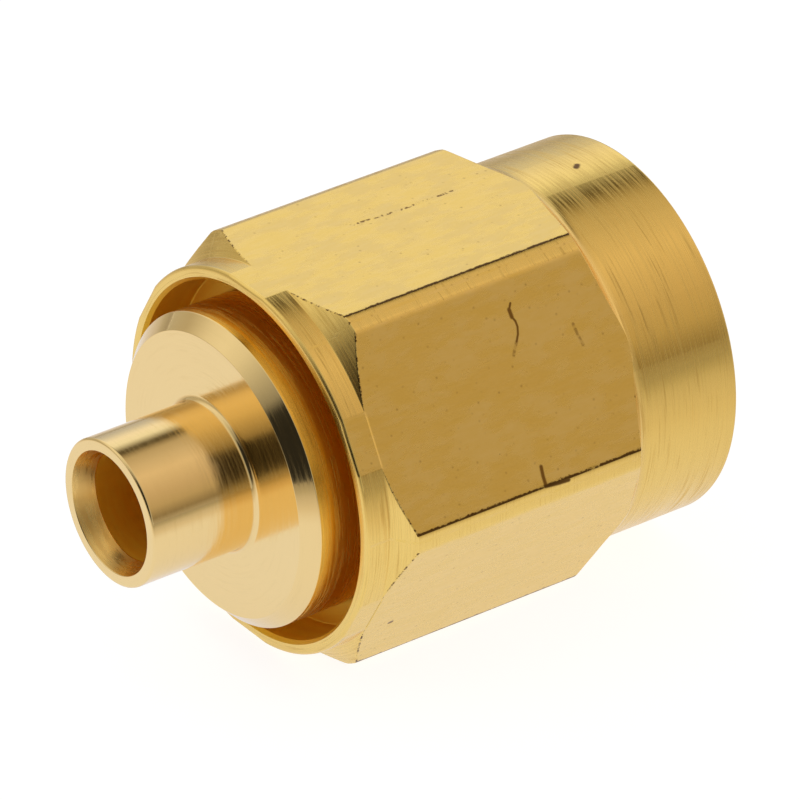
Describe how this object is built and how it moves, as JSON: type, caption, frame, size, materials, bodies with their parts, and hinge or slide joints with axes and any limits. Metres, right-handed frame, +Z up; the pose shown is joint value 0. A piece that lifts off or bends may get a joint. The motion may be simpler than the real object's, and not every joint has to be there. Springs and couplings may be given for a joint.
{
  "type": "sma connector",
  "caption": "Straight coaxial plug with a hexagonal coupling nut that turns freely, a flanged body and a short tube that a thin semi-rigid cable is soldered into.",
  "frame": {"origin": "on the connector's axis, in the mating reference plane, which is the front end of the body's sleeve", "axes": "+X along the axis, the way the mating connector leaves; -X is the cable side; +Z up, with the nut lying on one of its flats; -Y is the front"},
  "size_m": [0.0124, 0.009, 0.008],
  "materials": {
    "nut_gold": "polished gold plating over turned brass",
    "body_gold": "polished gold plating over turned brass",
    "ring_bronze": "bare spring bronze",
    "gasket_silicone": "matt silicone rubber",
    "insulator_ptfe": "turned white PTFE",
    "contact_gold": "gold plating over beryllium copper"
  },
  "bodies": {
    "nut": {"coupling_nut": "nut_gold"},
    "ring": {"snap_ring": "ring_bronze"},
    "plug": {"plug_body": "body_gold", "gasket": "gasket_silicone", "insulator": "insulator_ptfe", "center_contact": "contact_gold"}
  },
  "joints": [
    {"name": "nut_spin", "type": "hinge", "parent": "nut", "child": "ring", "pos_m": [0, 0, 0], "axis": [1, 0, 0], "continuous": true},
    {"name": "nut_play", "type": "slide", "parent": "ring", "child": "plug", "axis": [1, 0, 0], "range_m": [-0.00012, 0.00012]}
  ]
}
